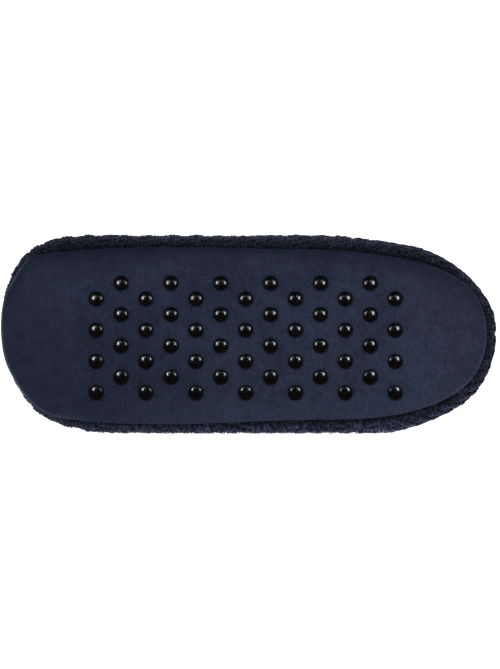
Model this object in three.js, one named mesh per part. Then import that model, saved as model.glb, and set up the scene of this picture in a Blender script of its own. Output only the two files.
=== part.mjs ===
// Knitted slipper sock for the right foot, with a padded suede sole, rubber grip dots and a soft insole.
// Millimetres. It is modelled standing on its sole, toe to -X, up +Z and its outer side to +Y, and the
// last group lays it on that outer side, so that the sole faces -Y. The origin is the middle of its footprint.
import * as THREE from "three";

// Sole
const SOLE_LENGTH = 274.6;
const SOLE_WIDTH = 100;
const SOLE_THICKNESS = 9;
const EDGE_ROLL = 15;
const TOE_ROUND = 33;
const HEEL_ROUND = 80.5;
const TOE_LEAN = 7.4;
const TOE_SPRING = 7;
const TOE_SPRING_RUN = 46;
const HEEL_LIFT = 2.5;
const HEEL_LIFT_RUN = 26;

// Grip dots
const DOT_DIAMETER = 8.2;
const DOT_HEIGHT = 2.2;
const DOT_COLUMNS = 13;
const DOT_ROWS = 4;
const DOT_COLUMN_PITCH = 14.06;
const DOT_ROW_PITCH = 17.67;
const DOT_FIRST_COLUMN = 54.1;
const DOT_OFF_CENTRE = 1.4;

// Upper
const WALL = 3.5;
const SEAM_INSET = 1.2;
const KNIT_BULGE = 10;
const COLLAR_LENGTH = 102;
const COLLAR_WIDTH = 68;
const COLLAR_SET_IN = 7;
const COLLAR_HEIGHT = 96;
const THROAT_HEIGHT = 102;
const CUFF_HEIGHT = 26;
const CUFF_STEP = 1.2;
const FLOOR_MARGIN = 5.5;

// Insole and clearances
const INSOLE_THICKNESS = 4;
const INSOLE_CLEARANCE = 0.5;
const SEAT_GAP = 0.3;

// Facets
const TURN_STEPS = 60;
const DOT_SIDES = 10;
const LOW_RINGS = 10;
const CUFF_RINGS = 3;

// Plan of the sole from toe (0) to heel (1): half width as a share of half of SOLE_WIDTH, and how far its
// middle lies to the big toe's side, as a share of TOE_LEAN.
const PLAN = [
  { at: 0, half: 1.05, lean: 0.68 },
  { at: 0.02, half: 0.9, lean: 0.45 },
  { at: 0.05, half: 0.922, lean: 0.28 },
  { at: 0.1, half: 0.926, lean: 0.09 },
  { at: 0.2, half: 0.978, lean: 0.01 },
  { at: 0.35, half: 1, lean: 0 },
  { at: 0.5, half: 0.98, lean: 0.04 },
  { at: 0.65, half: 0.96, lean: 0.08 },
  { at: 0.8, half: 0.95, lean: -0.03 },
  { at: 0.92, half: 1.03, lean: 0.04 },
  { at: 1, half: 1.2, lean: 0.12 },
];

// How far the knit stands out past the sole, as a share of KNIT_BULGE, on the inner and the outer side.
const BULGE = [
  { at: 0, inner: 0, outer: 0 },
  { at: 0.03, inner: 0.34, outer: 0 },
  { at: 0.06, inner: 0.52, outer: 0.05 },
  { at: 0.1, inner: 0.76, outer: 0.26 },
  { at: 0.14, inner: 0.86, outer: 0.46 },
  { at: 0.22, inner: 0.78, outer: 0.68 },
  { at: 0.36, inner: 0.7, outer: 1.02 },
  { at: 0.5, inner: 0.75, outer: 1.16 },
  { at: 0.66, inner: 0.84, outer: 1.2 },
  { at: 0.78, inner: 0.8, outer: 1 },
  { at: 0.86, inner: 0.76, outer: 0.8 },
  { at: 0.93, inner: 0.5, outer: 0.7 },
  { at: 0.97, inner: 0.36, outer: 0.6 },
  { at: 1, inner: 0.5, outer: 0.5 },
];

// The upper from its seam with the sole (0) to its collar (1): how full the bulge is, how far each ring has
// moved from the sole's plan to the collar's oval, and its height at the sides and at the front, as shares of
// the way from the seam up to the collar and up to the throat.
const RISE = [
  { at: 0, swell: 0, travel: 0, side: 0, front: 0 },
  { at: 0.07, swell: 0.72, travel: 0, side: 0.025, front: 0.04 },
  { at: 0.15, swell: 0.96, travel: 0, side: 0.07, front: 0.1 },
  { at: 0.25, swell: 1, travel: 0.015, side: 0.16, front: 0.19 },
  { at: 0.35, swell: 1, travel: 0.06, side: 0.28, front: 0.29 },
  { at: 0.45, swell: 1, travel: 0.15, side: 0.4, front: 0.38 },
  { at: 0.55, swell: 1, travel: 0.29, side: 0.5, front: 0.465 },
  { at: 0.65, swell: 1, travel: 0.46, side: 0.6, front: 0.56 },
  { at: 0.75, swell: 1, travel: 0.65, side: 0.71, front: 0.675 },
  { at: 0.86, swell: 1, travel: 0.84, side: 0.84, front: 0.82 },
  { at: 0.94, swell: 1, travel: 0.95, side: 0.93, front: 0.93 },
  { at: 1, swell: 1, travel: 1, side: 1, front: 1 },
];

// Round edge of the sole from its flat underside to its top, as shares of EDGE_ROLL and SOLE_THICKNESS.
const SOLE_EDGE = [
  { inset: 1, height: 0 },
  { inset: 0.66, height: 0.03 },
  { inset: 0.4, height: 0.11 },
  { inset: 0.2, height: 0.25 },
  { inset: 0.07, height: 0.43 },
  { inset: 0, height: 0.62 },
  { inset: 0.02, height: 0.86 },
  { inset: 0.06, height: 1 },
];

// Edge of the insole from its underside to its top, as shares of INSOLE_THICKNESS.
const INSOLE_EDGE = [
  { inset: 0.2, height: 0 },
  { inset: 0, height: 0.25 },
  { inset: 0, height: 0.65 },
  { inset: 0.45, height: 1 },
];

// Profile of a grip dot from its seat to its crown, as shares of its radius and height.
const DOT_PROFILE = [
  { radius: 0, height: 0 },
  { radius: 1, height: 0 },
  { radius: 1, height: 0.36 },
  { radius: 0.92, height: 0.57 },
  { radius: 0.68, height: 0.77 },
  { radius: 0.36, height: 0.94 },
  { radius: 0, height: 1 },
];

const SUEDE_LEVEL = DOT_HEIGHT + SEAT_GAP;
const SEAM_LEVEL = SUEDE_LEVEL + SOLE_THICKNESS + SEAT_GAP;
const FLOOR_SIDE = SOLE_WIDTH / 2 + FLOOR_MARGIN;
const SMALL_STEP = 0.0005;

// Reads a column of a table between its rows, as a smooth curve through them.
function columnAt(rows, column, at) {
  const last = rows.length - 1;
  let low = 0;
  while (low < last - 1 && at > rows[low + 1].at) {
    low += 1;
  }
  const slopeAt = (row) => {
    const before = rows[Math.max(row - 1, 0)];
    const after = rows[Math.min(row + 1, last)];
    return (after[column] - before[column]) / (after.at - before.at);
  };
  const span = rows[low + 1].at - rows[low].at;
  const u = THREE.MathUtils.clamp((at - rows[low].at) / span, 0, 1);
  const start = (2 * u - 3) * u * u + 1;
  const value = start * rows[low][column] + (1 - start) * rows[low + 1][column];
  const bend = (1 - u) * slopeAt(low) - u * slopeAt(low + 1);
  return value + u * (1 - u) * span * bend;
}

// Share of the length at a turn round the outline: 0 at the toe, and 1 at half a turn, the heel.
function lengthShare(turn) {
  return (1 - Math.cos(turn)) / 2;
}

// The ends of the sole are half ellipses.
function endRound(fromToe) {
  const toe = Math.max(1 - fromToe / TOE_ROUND, 0);
  const heel = Math.max(1 - (SOLE_LENGTH - fromToe) / HEEL_ROUND, 0);
  return Math.sqrt(Math.max(1 - toe * toe - heel * heel, 0));
}

// How far the toe springs up and the heel lifts at a place along the sole.
function liftAt(x) {
  const toe = Math.max(1 - (x + SOLE_LENGTH / 2) / TOE_SPRING_RUN, 0);
  const heel = Math.max(1 - (SOLE_LENGTH / 2 - x) / HEEL_LIFT_RUN, 0);
  return TOE_SPRING * toe * toe + HEEL_LIFT * heel * heel;
}

function planPoint(turn) {
  const at = lengthShare(turn);
  const half = (SOLE_WIDTH / 2) * columnAt(PLAN, "half", at) * endRound(at * SOLE_LENGTH);
  const middle = -TOE_LEAN * columnAt(PLAN, "lean", at);
  return new THREE.Vector2((at - 0.5) * SOLE_LENGTH, middle + Math.sign(Math.sin(turn)) * half);
}

// The sole's outline moved out by reach, square to itself.
function outline(turn, reach) {
  const along = planPoint(turn + SMALL_STEP).sub(planPoint(turn - SMALL_STEP)).normalize();
  return planPoint(turn).add(new THREE.Vector2(-along.y, along.x).multiplyScalar(reach));
}

function collarOval(turn) {
  const back = SOLE_LENGTH / 2 + KNIT_BULGE * BULGE.at(-1).outer - COLLAR_SET_IN;
  const x = back - COLLAR_LENGTH * (1 - lengthShare(turn));
  return new THREE.Vector2(x, (COLLAR_WIDTH / 2) * Math.sin(turn));
}

// The upper's outer face before the floor flattens it.
function freeFace(turn, rise) {
  const side = Math.sin(turn) > 0 ? "outer" : "inner";
  const bulge = KNIT_BULGE * columnAt(BULGE, side, lengthShare(turn));
  const swell = columnAt(RISE, "swell", rise);
  const low = outline(turn, THREE.MathUtils.lerp(-SEAM_INSET, bulge, swell));
  const plan = low.clone().lerp(collarOval(turn), columnAt(RISE, "travel", rise));
  const sideShare = columnAt(RISE, "side", rise);
  const frontShare = columnAt(RISE, "front", rise);
  const frontness = (1 - lengthShare(turn)) ** 2;
  const share = THREE.MathUtils.lerp(sideShare, frontShare, frontness);
  const top = THREE.MathUtils.lerp(COLLAR_HEIGHT, THROAT_HEIGHT, frontness);
  const height = THREE.MathUtils.lerp(SEAM_LEVEL + liftAt(low.x), top, share);
  return new THREE.Vector3(plan.x, plan.y, height);
}

function faceNormal(turn, rise) {
  const before = Math.max(rise - SMALL_STEP, 0);
  const after = Math.min(rise + SMALL_STEP, 1);
  const around = freeFace(turn + SMALL_STEP, rise).sub(freeFace(turn - SMALL_STEP, rise));
  const upward = freeFace(turn, after).sub(freeFace(turn, before));
  return upward.cross(around).normalize();
}

// A point of the upper at a depth below its outer face; a negative depth stands out from it.
function upperPoint(turn, rise, depth) {
  const point = freeFace(turn, rise).addScaledVector(faceNormal(turn, rise), -depth);
  point.y = Math.min(point.y, FLOOR_SIDE - Math.max(depth, 0));
  return point;
}

// The upper's lower rim, which lies along the top of the sole.
function rimPoint(turn, inset) {
  const plan = outline(turn, -inset);
  return new THREE.Vector3(plan.x, plan.y, SEAM_LEVEL + liftAt(plan.x));
}

function turnRing(pointAt) {
  return Array.from({ length: TURN_STEPS }, (_, step) => pointAt((2 * Math.PI * step) / TURN_STEPS));
}

// Bands of faces between each ring and the next, with the last ring joined to the first if it is closed.
function bandFaces(ringCount, closed) {
  const faces = [];
  for (let band = 0; band < (closed ? ringCount : ringCount - 1); band += 1) {
    const near = band * TURN_STEPS;
    const far = ((band + 1) % ringCount) * TURN_STEPS;
    for (let step = 0; step < TURN_STEPS; step += 1) {
      const next = (step + 1) % TURN_STEPS;
      faces.push([near + step, far + step, far + next], [near + step, far + next, near + next]);
    }
  }
  return faces;
}

// A ring closed by strips that run straight across it, so that they follow a bend along its length.
function capFaces(first) {
  const faces = [];
  for (let step = 0; step < TURN_STEPS / 2; step += 1) {
    const left = first + step;
    const right = first + ((TURN_STEPS - step) % TURN_STEPS);
    const rightNext = first + TURN_STEPS - step - 1;
    if (step > 0) {
      faces.push([left, left + 1, right]);
    }
    if (step < TURN_STEPS / 2 - 1) {
      faces.push([left + 1, rightNext, right]);
    }
  }
  return faces;
}

function solidFrom(rings, faces) {
  const geometry = new THREE.BufferGeometry();
  geometry.setFromPoints(rings.flat());
  geometry.setIndex(faces.flat());
  geometry.computeVertexNormals();
  return geometry;
}

// A flat pad with the sole's outline. Its edge rows give inset and height in millimetres above its underside.
function padSolid(edge, level) {
  const rings = edge.map((row) => turnRing((turn) => {
    const plan = outline(turn, -row.inset);
    return new THREE.Vector3(plan.x, plan.y, level + row.height + liftAt(plan.x));
  }));
  const under = capFaces(0);
  const over = capFaces((rings.length - 1) * TURN_STEPS).map((face) => face.toReversed());
  return solidFrom(rings, [...under, ...bandFaces(rings.length, false), ...over]);
}

function outsoleSolid() {
  const edge = SOLE_EDGE.map((row) => ({
    inset: row.inset * EDGE_ROLL,
    height: row.height * SOLE_THICKNESS,
  }));
  return padSolid(edge, SUEDE_LEVEL);
}

function insoleSolid() {
  const clear = SEAM_INSET + WALL + INSOLE_CLEARANCE;
  const edge = INSOLE_EDGE.map((row) => ({
    inset: clear + row.inset * INSOLE_THICKNESS,
    height: row.height * INSOLE_THICKNESS,
  }));
  return padSolid(edge, SEAM_LEVEL);
}

// Where the cuff starts on the way up: the same height below the collar at the back as along the instep.
function cuffStart(turn) {
  const upright = COLLAR_HEIGHT - SEAM_LEVEL;
  const sloping = Math.hypot(collarOval(0).x + SOLE_LENGTH / 2, THROAT_HEIGHT - SEAM_LEVEL);
  return 1 - CUFF_HEIGHT / THREE.MathUtils.lerp(upright, sloping, (1 - lengthShare(turn)) ** 2);
}

// The knit is one hollow wall, open underneath and at the collar, with the cuff as a step in its outside.
function upperSolid() {
  const lowRing = (step, depth) => turnRing(
    (turn) => upperPoint(turn, (cuffStart(turn) * step) / LOW_RINGS, depth),
  );
  const cuffRing = (share, depth) => turnRing(
    (turn) => upperPoint(turn, THREE.MathUtils.lerp(cuffStart(turn), 1, share), depth),
  );
  const lowSteps = Array.from({ length: LOW_RINGS }, (_, index) => index + 1);
  const cuffShares = Array.from({ length: CUFF_RINGS }, (_, index) => (index + 1) / CUFF_RINGS);
  const outside = [
    turnRing((turn) => rimPoint(turn, SEAM_INSET)),
    ...lowSteps.map((step) => lowRing(step, 0)),
    ...[CUFF_STEP / CUFF_HEIGHT, ...cuffShares].map((share) => cuffRing(share, -CUFF_STEP)),
  ];
  const lip = turnRing((turn) => {
    const point = upperPoint(turn, 1, (WALL - CUFF_STEP) / 2);
    point.z += CUFF_STEP;
    return point;
  });
  const inside = [
    turnRing((turn) => rimPoint(turn, SEAM_INSET + WALL)),
    ...lowSteps.map((step) => lowRing(step, WALL)),
    ...cuffShares.map((share) => cuffRing(share, WALL)),
  ];
  const rings = [...outside, lip, ...inside.reverse()];
  return solidFrom(rings, bandFaces(rings.length, true));
}

function dotSolid() {
  const profile = DOT_PROFILE.map(
    (row) => new THREE.Vector2((row.radius * DOT_DIAMETER) / 2, row.height * DOT_HEIGHT),
  );
  return new THREE.LatheGeometry(profile, DOT_SIDES).rotateX(-Math.PI / 2);
}

const suede = new THREE.MeshStandardMaterial({ color: 0x2b2f41, roughness: 0.95, metalness: 0 });
const knit = new THREE.MeshStandardMaterial({ color: 0x1d2233, roughness: 0.95, metalness: 0 });
const lining = new THREE.MeshStandardMaterial({ color: 0x30364a, roughness: 1, metalness: 0 });
const rubber = new THREE.MeshStandardMaterial({ color: 0x0b0b0c, roughness: 0.15, metalness: 0 });

const sock = new THREE.Group();

function addPart(name, geometry, material) {
  const part = new THREE.Mesh(geometry, material);
  part.name = name;
  sock.add(part);
  return part;
}

addPart("outsole", outsoleSolid(), suede);
addPart("insole", insoleSolid(), lining);
addPart("upper", upperSolid(), knit);

// The dots stand in staggered columns: every second column is half a row pitch nearer the big toe's side.
for (let column = 0; column < DOT_COLUMNS; column += 1) {
  const stagger = (column % 2 === 0 ? 1 : -1) * (DOT_ROW_PITCH / 4);
  for (let row = 0; row < DOT_ROWS; row += 1) {
    const number = String(column * DOT_ROWS + row + 1).padStart(2, "0");
    const dot = addPart(`grip_dot_${number}`, dotSolid(), rubber);
    dot.position.set(
      DOT_FIRST_COLUMN + column * DOT_COLUMN_PITCH - SOLE_LENGTH / 2,
      DOT_OFF_CENTRE + stagger + (row - (DOT_ROWS - 1) / 2) * DOT_ROW_PITCH,
      DOT_HEIGHT,
    );
  }
}

// Laid on its outer side, with the middle of its footprint at the origin.
sock.rotation.x = -Math.PI / 2;
const laid = new THREE.Group();
laid.add(sock);
laid.updateMatrixWorld(true);
const extent = new THREE.Box3().setFromObject(laid);
const middle = extent.getCenter(new THREE.Vector3());
sock.position.set(-middle.x, -middle.y, FLOOR_SIDE);

export default laid;
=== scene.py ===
"""The looks of a knitted slipper sock that lies on its outer side with its suede sole to the viewer.

Forms are worked out in the sock's own frame, in millimetres: x from toe to heel, y to its outer side and
h up from the ground that its grip dots stand on. to_world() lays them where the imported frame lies.
"""

import math

import bmesh
import bpy
import numpy as np
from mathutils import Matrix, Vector


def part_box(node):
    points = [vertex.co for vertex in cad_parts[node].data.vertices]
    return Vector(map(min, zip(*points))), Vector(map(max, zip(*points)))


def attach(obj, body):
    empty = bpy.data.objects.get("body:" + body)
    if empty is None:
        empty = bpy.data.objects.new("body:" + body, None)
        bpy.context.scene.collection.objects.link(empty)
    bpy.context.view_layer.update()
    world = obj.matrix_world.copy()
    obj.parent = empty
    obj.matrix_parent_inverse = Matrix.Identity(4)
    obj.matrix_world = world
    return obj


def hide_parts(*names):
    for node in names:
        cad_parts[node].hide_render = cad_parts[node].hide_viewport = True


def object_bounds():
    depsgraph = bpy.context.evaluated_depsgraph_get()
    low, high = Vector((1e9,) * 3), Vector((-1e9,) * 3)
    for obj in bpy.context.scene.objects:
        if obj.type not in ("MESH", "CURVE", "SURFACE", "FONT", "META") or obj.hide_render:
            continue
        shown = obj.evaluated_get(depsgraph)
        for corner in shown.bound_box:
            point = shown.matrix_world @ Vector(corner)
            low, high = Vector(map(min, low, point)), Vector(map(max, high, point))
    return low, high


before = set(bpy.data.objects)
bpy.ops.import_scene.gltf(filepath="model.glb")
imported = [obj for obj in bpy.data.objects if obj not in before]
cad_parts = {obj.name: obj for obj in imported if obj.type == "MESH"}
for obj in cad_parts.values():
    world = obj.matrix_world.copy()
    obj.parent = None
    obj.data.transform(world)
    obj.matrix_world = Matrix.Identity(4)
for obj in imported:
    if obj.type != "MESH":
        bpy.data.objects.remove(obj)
CAD_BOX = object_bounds()
TOE_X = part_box("outsole")[0].x

# Sizes, in millimetres. TOE_TUCK and TOE_FULLNESS are shares of the half width at the toe's corners.
SOLE_LENGTH = 274.6
SOLE_WIDTH = 100.0
SOLE_THICKNESS = 9.0
EDGE_ROLL = 15.0
TOE_ROUND = 33.0
HEEL_ROUND = 80.5
TOE_LEAN = 7.4
TOE_SPRING = 7.0
TOE_SPRING_RUN = 46.0
HEEL_LIFT = 2.5
HEEL_LIFT_RUN = 26.0
DOT_DIAMETER = 8.2
DOT_HEIGHT = 2.2
DOT_CROWN_RADIUS = 8.0
DOT_COLUMN_PITCH = 14.06
DOT_ROW_PITCH = 17.67
DOT_RIM_DROP = 0.42
PAD_CROWN = 270.0
SOLE_WAVE = 0.09
TOE_CORNER = -124.0
TOE_CORNER_REACH = 10.0
TOE_TUCK = 0.035
TOE_FULLNESS = 0.055
WALL = 3.5
SEAM_INSET = 1.2
KNIT_BULGE = 10.0
COLLAR_LENGTH = 102.0
COLLAR_WIDTH = 68.0
COLLAR_SET_IN = 7.0
COLLAR_HEIGHT = 96.0
THROAT_HEIGHT = 102.0
CUFF_HEIGHT = 26.0
CUFF_STEP = 1.2
LIP_ROUND = 0.9
FLOOR_MARGIN = 5.5
INSOLE_THICKNESS = 4.0
INSOLE_CLEARANCE = 0.5
SEAT_GAP = 0.3
SUEDE_LEVEL = DOT_HEIGHT + SEAT_GAP
SEAM_LEVEL = SUEDE_LEVEL + SOLE_THICKNESS + SEAT_GAP
FLOOR_SIDE = SOLE_WIDTH / 2 + FLOOR_MARGIN
SOLE_MIDDLE = TOE_X * 1000 + SOLE_LENGTH / 2

# The ankle that the knit's courses fan out round: its radius, and how far its centre lies in from the
# collar's front and above it.
ANKLE_RADIUS = 78.0
ANKLE_IN = 18.0
ANKLE_ABOVE = 12.0

# The knit: lengths in millimetres, counts of wales and fibres, and PURL_RISE, the purl band's share of
# the height. ALIGNED_AT is where along the sock the stitches of all wales line up.
WALE = 3.3
LONGEST_ARC = 230.0
COURSE = 2.75
YARN_RADIUS = 0.78
SHELL_DEPTH = 1.3
BRAID_PITCH = 14.0
BRAID_WALES = 4
BRAID_RELIEF = 1.1
HEEL_RIBS_FROM = 70.0
HEEL_RIBS_RUN = 25.0
RIB_WALES = 2
RIB_RELIEF = 0.9
EDGE_PITCH = 3.1
EDGE_WIDTH = 4.2
SEAM_PITCH = 2.1
PURL_RISE = 0.2
ALIGNED_AT = -40.0
TOE_SINK = 0.9
STITCH_JITTER = dict(size=0.08, across=0.05, along=0.06, out=0.12)
FUZZ_FIBRES = 30000
FUZZ_SHORTEST = 0.5
FUZZ_LENGTH = 1.3
FUZZ_WIDTH = 0.14

# Plan of the sole from toe (0) to heel (1), as shares of its half width and of the toe's lean.
PLAN = dict(
    at=(0, 0.02, 0.05, 0.1, 0.2, 0.35, 0.5, 0.65, 0.8, 0.92, 1),
    half=(1.05, 0.9, 0.922, 0.926, 0.978, 1, 0.98, 0.96, 0.95, 1.03, 1.2),
    lean=(0.68, 0.45, 0.28, 0.09, 0.01, 0, 0.04, 0.08, -0.03, 0.04, 0.12),
)

# How far the knit stands out past the sole on its inner and outer side, as a share of KNIT_BULGE.
BULGE = dict(
    at=(0, 0.03, 0.06, 0.1, 0.14, 0.22, 0.36, 0.5, 0.66, 0.78, 0.86, 0.93, 0.97, 1),
    inner=(0, 0.34, 0.52, 0.76, 0.86, 0.78, 0.7, 0.75, 0.84, 0.8, 0.76, 0.5, 0.36, 0.5),
    outer=(0, 0, 0.05, 0.26, 0.46, 0.68, 1.02, 1.16, 1.2, 1, 0.8, 0.7, 0.6, 0.5),
)

# The upper from its seam (0) to its collar (1): swell of the bulge, travel from the sole's plan to the
# collar's oval, and height at the sides and at the front.
RISE = dict(
    at=(0, 0.07, 0.15, 0.25, 0.35, 0.45, 0.55, 0.65, 0.75, 0.86, 0.94, 1),
    swell=(0, 0.72, 0.96, 1, 1, 1, 1, 1, 1, 1, 1, 1),
    travel=(0, 0, 0, 0.015, 0.06, 0.15, 0.29, 0.46, 0.65, 0.84, 0.95, 1),
    side=(0, 0.025, 0.07, 0.16, 0.28, 0.4, 0.5, 0.6, 0.71, 0.84, 0.93, 1),
    front=(0, 0.04, 0.1, 0.19, 0.29, 0.38, 0.465, 0.56, 0.675, 0.82, 0.93, 1),
)

# Round edge of the sole from its flat underside to its top, as shares of EDGE_ROLL and SOLE_THICKNESS.
SOLE_EDGE = dict(
    at=(0, 1, 2, 3, 4, 5, 6, 7),
    inset=(1, 0.66, 0.4, 0.2, 0.07, 0, 0.02, 0.06),
    height=(0, 0.03, 0.11, 0.25, 0.43, 0.62, 0.86, 1),
)

# Edge of the insole from its underside to its top, as shares of INSOLE_THICKNESS.
INSOLE_EDGE = dict(
    at=(0, 1, 2, 3),
    inset=(0.2, 0, 0, 0.45),
    height=(0, 0.25, 0.65, 1),
)

# Path of one leg of a plain stitch, or one loop of a purl one, as shares of the stitch's width and length
# and of the yarn's radius. The other leg or loop mirrors it.
PLAIN_STITCH = dict(
    mirror="across",
    across=(0.05, 0.14, 0.25, 0.36, 0.44),
    along=(-0.82, -0.42, 0, 0.42, 0.82),
    out=(-0.55, 0.12, 0.35, 0.12, -0.55),
    radius=(0.55, 0.95, 1.08, 0.95, 0.55),
)
PURL_STITCH = dict(
    mirror="along",
    across=(-0.52, -0.32, 0, 0.32, 0.52),
    along=(0.1, 0.24, 0.31, 0.24, 0.1),
    out=(-0.6, 0.2, 0.6, 0.2, -0.6),
    radius=(0.5, 0.8, 0.9, 0.8, 0.5),
)

# The footbed's hollows under the heel and the ball of the foot, in millimetres.
FOOTBED_HOLLOWS = (
    dict(at=(92, 0), reach=(34, 24), depth=0.9),
    dict(at=(-62, -2), reach=(38, 30), depth=0.7),
)

# How far in from a pad's outline its layout reaches 1, in millimetres, and how far the painted shadow
# rings reach round the grip dots, as a share of a dot's radius.
LAYOUT_REACH = 40.0
DOT_SHADOW_REACH = 1.24

# Colours of the suede at both ends on both sides, 8-bit sRGB, and its marks, painted shade and a painted
# highlight among them, as shares of them.
SUEDE_TOE_INNER = (33, 39, 58)
SUEDE_TOE_OUTER = (27, 33, 49)
SUEDE_HEEL_INNER = (37, 43, 61)
SUEDE_HEEL_OUTER = (42, 48, 67)
SUEDE_CLOUD = (0.78, 0.79, 0.82, 1)
SUEDE_MOTTLE = (0.76, 0.78, 0.81, 1)
SUEDE_NAP = (0.56, 0.58, 0.62, 1)
SUEDE_TOP_EDGE_SHADE = (0.66, 0.68, 0.74, 1)
SUEDE_HEEL_END = (0.9, 0.9, 0.9, 1)
SUEDE_RIM_HIGHLIGHT = (6.6, 6.0, 4.4, 1)
SUEDE_DOT_SHADOW = (0.5, 0.48, 0.48, 1)

# Colours of the yarn where it is darkest and palest, 8-bit sRGB, and its marks, painted shade and light
# among them, as shares of them.
YARN_DARK = (11, 14, 28)
YARN_PALE = (66, 72, 100)
YARN_WARM = (1.12, 0.93, 0.82, 1)
YARN_BLOOM = (2.1, 2.1, 2.0, 1)
YARN_PLY_GROOVE_SHADE = (0.6, 0.6, 0.62, 1)
YARN_OFF_CREST_SHADE = (0.25, 0.25, 0.28, 1)
YARN_SEAM_SHADE = (0.33, 0.33, 0.35, 1)
YARN_END_SHADE = (0.26, 0.28, 0.36, 1)
YARN_SEAM_SHADOW = (0.2, 0.2, 0.24, 1)
YARN_FLOOR_LIGHT = (2.9, 2.75, 2.4, 1)

random = np.random.default_rng(7)


def column_at(rows, column, at):
    """A column of a table between its rows, as a smooth curve through them."""
    places = np.array(rows["at"], float)
    values = np.array(rows[column], float)
    slopes = np.gradient(values, places)
    slopes[1:-1] = (values[2:] - values[:-2]) / (places[2:] - places[:-2])
    at = np.clip(at, places[0], places[-1])
    low = np.clip(np.searchsorted(places, at, side="left") - 1, 0, len(places) - 2)
    span = places[low + 1] - places[low]
    u = (at - places[low]) / span
    start = (2 * u - 3) * u * u + 1
    value = start * values[low] + (1 - start) * values[low + 1]
    bend = (1 - u) * slopes[low] - u * slopes[low + 1]
    return value + u * (1 - u) * span * bend


def mix(a, b, share):
    return a + (b - a) * share


def unit(vectors):
    return vectors / np.linalg.norm(vectors, axis=-1, keepdims=True)


def square_to(directions, vectors):
    """What is left of vectors without what runs along directions."""
    return vectors - directions * (vectors * directions).sum(-1, keepdims=True)


def run_along(points):
    """How far along a line each of its points lies."""
    return np.concatenate([[0], np.cumsum(np.linalg.norm(np.diff(points, axis=0), axis=1))])


def length_share(turn):
    return (1 - np.cos(turn)) / 2


def end_round(from_toe):
    toe = np.maximum(1 - from_toe / TOE_ROUND, 0)
    heel = np.maximum(1 - (SOLE_LENGTH - from_toe) / HEEL_ROUND, 0)
    return np.sqrt(np.maximum(1 - toe * toe - heel * heel, 0))


def lift_at(x):
    toe = np.maximum(1 - (x + SOLE_LENGTH / 2) / TOE_SPRING_RUN, 0)
    heel = np.maximum(1 - (SOLE_LENGTH / 2 - x) / HEEL_LIFT_RUN, 0)
    return TOE_SPRING * toe * toe + HEEL_LIFT * heel * heel


def plan_point(turn):
    at = length_share(turn)
    half = SOLE_WIDTH / 2 * column_at(PLAN, "half", at) * end_round(at * SOLE_LENGTH)
    middle = -TOE_LEAN * column_at(PLAN, "lean", at)
    return np.stack([(at - 0.5) * SOLE_LENGTH, middle + np.sign(np.sin(turn)) * half], -1)


def outline(turn, reach):
    """The sole's outline moved out by reach, square to itself."""
    step = 0.0005
    along = unit(plan_point(turn + step) - plan_point(turn - step))
    outward = np.stack([-along[..., 1], along[..., 0]], -1)
    return plan_point(turn) + outward * np.asarray(reach)[..., None]


def collar_oval(turn):
    back = SOLE_LENGTH / 2 + KNIT_BULGE * BULGE["outer"][-1] - COLLAR_SET_IN
    x = back - COLLAR_LENGTH * (1 - length_share(turn))
    return np.stack([x, COLLAR_WIDTH / 2 * np.sin(turn)], -1)


def free_face(turn, rise):
    """The upper's outer face before the floor flattens it."""
    turn, rise = np.broadcast_arrays(turn, rise)
    at = length_share(turn)
    side = np.where(np.sin(turn) > 0, column_at(BULGE, "outer", at), column_at(BULGE, "inner", at))
    low = outline(turn, mix(-SEAM_INSET, KNIT_BULGE * side, column_at(RISE, "swell", rise)))
    plan = mix(low, collar_oval(turn), column_at(RISE, "travel", rise)[..., None])
    frontness = (1 - at) ** 2
    share = mix(column_at(RISE, "side", rise), column_at(RISE, "front", rise), frontness)
    top = mix(COLLAR_HEIGHT, THROAT_HEIGHT, frontness)
    height = mix(SEAM_LEVEL + lift_at(low[..., 0]), top, share)
    return np.concatenate([plan, height[..., None]], -1)


def face_normal(turn, rise):
    step = 0.0005
    around = free_face(turn + step, rise) - free_face(turn - step, rise)
    upward = free_face(turn, np.minimum(rise + step, 1)) - free_face(turn, np.maximum(rise - step, 0))
    return unit(np.cross(upward, around))


# Soft creases of the empty sock: each is a trough along a line from one place to another, on both sides
# or one, with its half width and depth, in millimetres. The knit rises a little beside a trough.
CREASES = (
    dict(start=(4, 78), end=(52, 60), side=0, width=7, depth=1.7),
    dict(start=(-22, 62), end=(26, 46), side=0, width=8, depth=1.3),
    dict(start=(96, 66), end=(134, 58), side=0, width=7, depth=1.5),
    dict(start=(104, 44), end=(138, 38), side=-1, width=6, depth=1.0),
    dict(start=(-96, 44), end=(-60, 30), side=-1, width=8, depth=1.1),
)
CREASE_RIDGE = 0.35
CREASE_RIDGE_AT = 1.6


def crease_depth(point):
    """How far the soft creases draw a point of the upper inwards."""
    x, y, h = point[..., 0], point[..., 1], point[..., 2]
    depth = np.zeros(x.shape)
    for crease in CREASES:
        start = np.array(crease["start"])
        line = np.array(crease["end"]) - start
        length = np.linalg.norm(line)
        along = ((x - start[0]) * line[0] + (h - start[1]) * line[1]) / length
        across = ((h - start[1]) * line[0] - (x - start[0]) * line[1]) / length
        past = np.maximum(np.maximum(-along, along - length), 0) / (1.5 * crease["width"])
        trough = np.exp(-((across / crease["width"]) ** 2) - past**2)
        facing = 1.0 if crease["side"] == 0 else np.clip(0.5 + 0.1 * y * crease["side"], 0, 1)
        beside = np.abs(across) / crease["width"] - CREASE_RIDGE_AT
        ridge = CREASE_RIDGE * np.exp(-3 * beside**2 - past**2)
        depth += crease["depth"] * (trough - ridge) * facing
    return depth


def upper_point(turn, rise, depth):
    """A point at a depth under the upper's outer face, flattened where it lies on the floor."""
    point = free_face(turn, rise)
    clear_of_floor = np.clip((FLOOR_SIDE - 1 - point[..., 1]) / 4, 0, 1)
    sunk = depth + crease_depth(point) * clear_of_floor
    point = point - face_normal(turn, rise) * sunk[..., None]
    point[..., 1] = np.minimum(point[..., 1], FLOOR_SIDE - np.maximum(depth, 0))
    return point


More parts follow.
